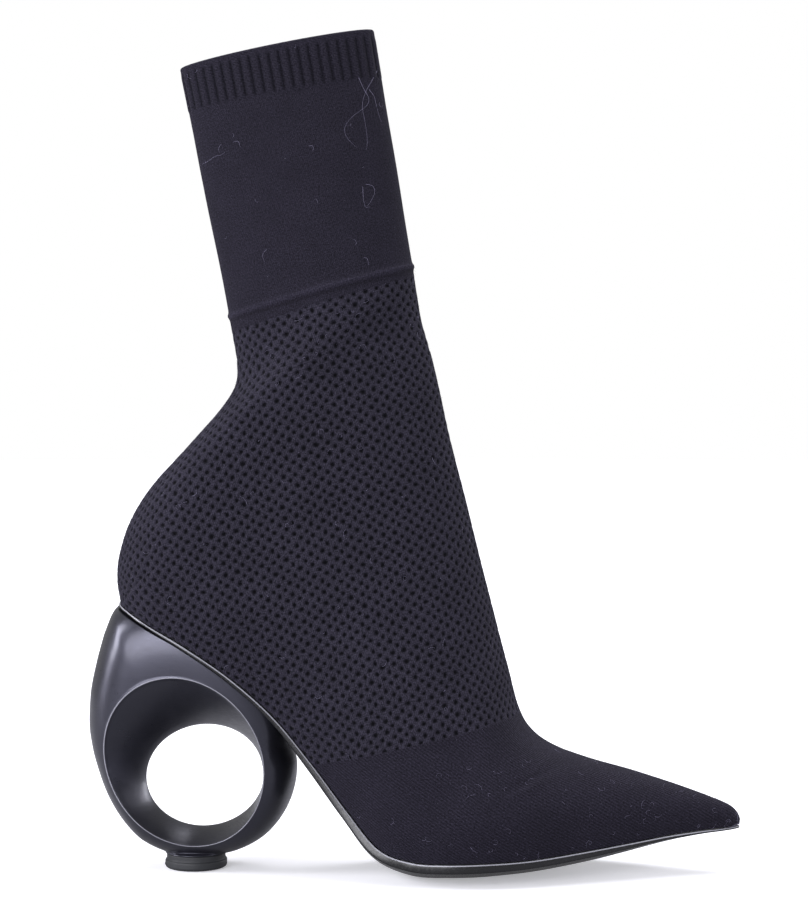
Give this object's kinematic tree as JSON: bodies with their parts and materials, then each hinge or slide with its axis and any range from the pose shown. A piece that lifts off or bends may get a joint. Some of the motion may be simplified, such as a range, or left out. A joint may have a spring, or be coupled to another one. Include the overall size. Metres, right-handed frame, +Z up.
{
  "type": "knit ankle boot",
  "caption": "Sock-like knit ankle boot with a pointed toe, a thin sole and a high ring-shaped heel, one right boot, open at the collar.",
  "frame": {"origin": "centre of the heel tip's underside, on the floor", "axes": "+X to the toe, +Y to the inner side of the foot, +Z up"},
  "size_m": [0.2457, 0.0778, 0.316],
  "materials": {
    "knit": "matte",
    "sole": "satin",
    "sock": "matte",
    "heel": "satin",
    "lift": "matte"
  },
  "bodies": {
    "root": {"upper": "knit", "outsole": "sole", "insole": "sock", "heel": "heel", "top_lift": "lift"}
  },
  "joints": []
}
